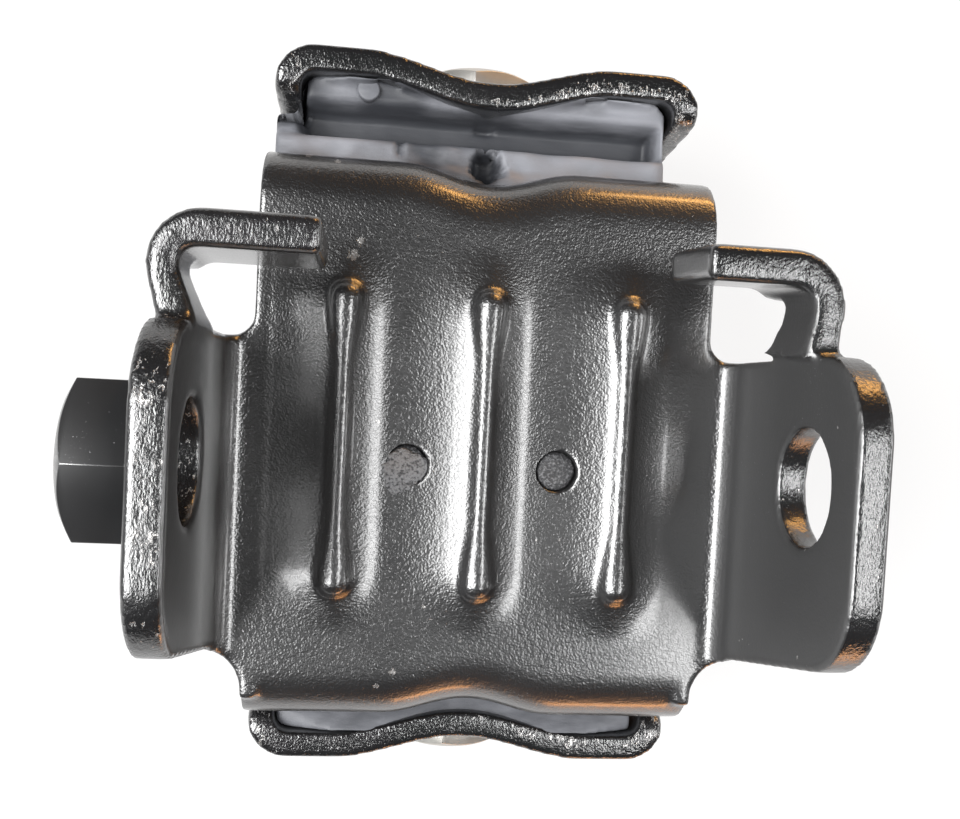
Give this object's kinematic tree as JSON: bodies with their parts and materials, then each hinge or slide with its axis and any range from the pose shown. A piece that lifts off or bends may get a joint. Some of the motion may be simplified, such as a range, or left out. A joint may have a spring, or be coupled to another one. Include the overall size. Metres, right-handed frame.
{
  "type": "engine mount",
  "caption": "Clamshell engine mount: stamped bracket with bolt ears, hooks and beaded web, bonded to a rubber block in a channel-shaped outer shell.",
  "frame": {"origin": "middle of the outer shell's flat back face", "axes": "+Z from the back face towards the bolt ears, +Y from the lower to the upper flange, the side with the hooks, +X along the bolt axis from the weld nut to the plain ear"},
  "size_m": [0.0854, 0.1098, 0.085],
  "materials": {
    "bracket_paint": "semi-gloss black paint with a fine orange-peel grain over stamped steel",
    "shell_paint": "semi-gloss black paint over stamped steel, rough sheared edge",
    "rubber": "moulded natural rubber, dull blue-grey bloom",
    "ear_nut_paint": "black paint over a steel weld nut",
    "flange_nut_steel": "plated steel weld nut"
  },
  "bodies": {
    "root": {"ear_bracket": "bracket_paint", "outer_shell": "shell_paint", "rubber_block": "rubber", "ear_weld_nut": "ear_nut_paint", "upper_flange_nut": "flange_nut_steel", "lower_flange_nut": "flange_nut_steel"}
  },
  "joints": []
}
